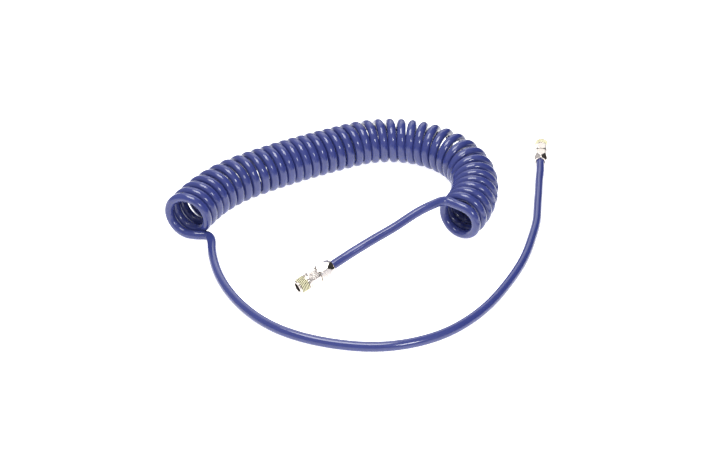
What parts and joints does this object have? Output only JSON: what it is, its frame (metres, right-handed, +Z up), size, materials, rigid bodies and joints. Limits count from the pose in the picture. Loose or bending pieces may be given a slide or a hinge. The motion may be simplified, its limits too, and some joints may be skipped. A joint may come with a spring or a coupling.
{
  "type": "coiled air hose",
  "caption": "Coiled polyurethane air hose laid in a hook shape, with a long and a short leg and swivel fittings with male pipe threads.",
  "frame": {"origin": "centre of the laid hose's box, on the surface it lies on", "axes": "+X along the hose's longest extent, from the coil's long-leg end to the long leg's far arm; +Y towards the far fitting; +Z up"},
  "size_m": [0.3587, 0.2983, 0.043],
  "materials": {
    "hose": "gloss",
    "nickel_plated_brass": "satin",
    "thread_sealant": "matte",
    "nitrile_rubber": "matte",
    "spring_steel": "satin"
  },
  "bodies": {
    "coil_main": {"coil_run_left": "hose", "coil_run_right": "hose", "coil_stretch_zone": "hose", "coil_bend_zone_1": "hose"},
    "coil_left": {"coil_end_left": "hose", "long_leg_root": "hose", "long_leg_bend_zone_1": "hose"},
    "coil_corner": {"coil_shoulder": "hose", "coil_bend_zone_2": "hose"},
    "coil_right": {"coil_end_right": "hose", "short_leg_root": "hose", "short_leg_bend_zone": "hose"},
    "long_leg_inner": {"long_leg_near": "hose", "long_leg_bend_zone_2": "hose"},
    "long_leg_outer": {"long_leg_far": "hose", "long_hose_end": "hose", "long_union_nut": "nickel_plated_brass", "long_swivel_stem": "nickel_plated_brass", "long_o_ring": "nitrile_rubber", "long_snap_ring": "spring_steel"},
    "long_thread": {"long_threaded_body": "nickel_plated_brass", "long_thread_sealant": "thread_sealant"},
    "short_leg": {"short_leg_tube": "hose", "short_hose_end": "hose", "short_union_nut": "nickel_plated_brass", "short_swivel_stem": "nickel_plated_brass", "short_o_ring": "nitrile_rubber", "short_snap_ring": "spring_steel"},
    "short_thread": {"short_threaded_body": "nickel_plated_brass", "short_thread_sealant": "thread_sealant"}
  },
  "joints": [
    {"name": "coil_stretch", "type": "slide", "parent": "coil_main", "child": "coil_left", "axis": [-0.454, -0.891, 0], "range_m": [0, 0.06], "stiffness_N_per_m": 16, "deforming": ["coil_stretch_zone"]},
    {"name": "coil_bend_1", "type": "hinge", "parent": "coil_main", "child": "coil_corner", "pos_m": [0.00792, 0.12749, 0.0215], "axis": [0, 0, 1], "range_deg": [-6, 7], "stiffness_Nm_per_rad": 0.05, "deforming": ["coil_bend_zone_1"]},
    {"name": "coil_bend_2", "type": "hinge", "parent": "coil_corner", "child": "coil_right", "pos_m": [0.08827, 0.08926, 0.0215], "axis": [0, 0, 1], "range_deg": [-8, 8], "stiffness_Nm_per_rad": 0.05, "deforming": ["coil_bend_zone_2"]},
    {"name": "long_leg_swing", "type": "hinge", "parent": "coil_left", "child": "long_leg_inner", "pos_m": [-0.133, -0.037, 0.004], "axis": [0, 0, -1], "range_deg": [-4, 30], "stiffness_Nm_per_rad": 0.05, "deforming": ["long_leg_bend_zone_1"]},
    {"name": "long_leg_bend", "type": "hinge", "parent": "long_leg_inner", "child": "long_leg_outer", "pos_m": [0.078, -0.1135, 0.004], "axis": [0, 0, -1], "range_deg": [-5, 40], "stiffness_Nm_per_rad": 0.05, "deforming": ["long_leg_bend_zone_2"]},
    {"name": "short_leg_swing", "type": "hinge", "parent": "coil_right", "child": "short_leg", "pos_m": [0.046, -0.0045, 0.0358], "axis": [0, 0, 1], "range_deg": [-12, 15], "stiffness_Nm_per_rad": 0.05, "deforming": ["short_leg_bend_zone"]},
    {"name": "long_swivel", "type": "hinge", "parent": "long_leg_outer", "child": "long_thread", "pos_m": [0.1686, 0.12677, 0.007], "axis": [0.1736, 0.9848, 0], "continuous": true},
    {"name": "short_swivel", "type": "hinge", "parent": "short_leg", "child": "short_thread", "pos_m": [-0.04391, -0.06465, 0.01012], "axis": [-0.7942, -0.577, -0.1908], "continuous": true}
  ]
}
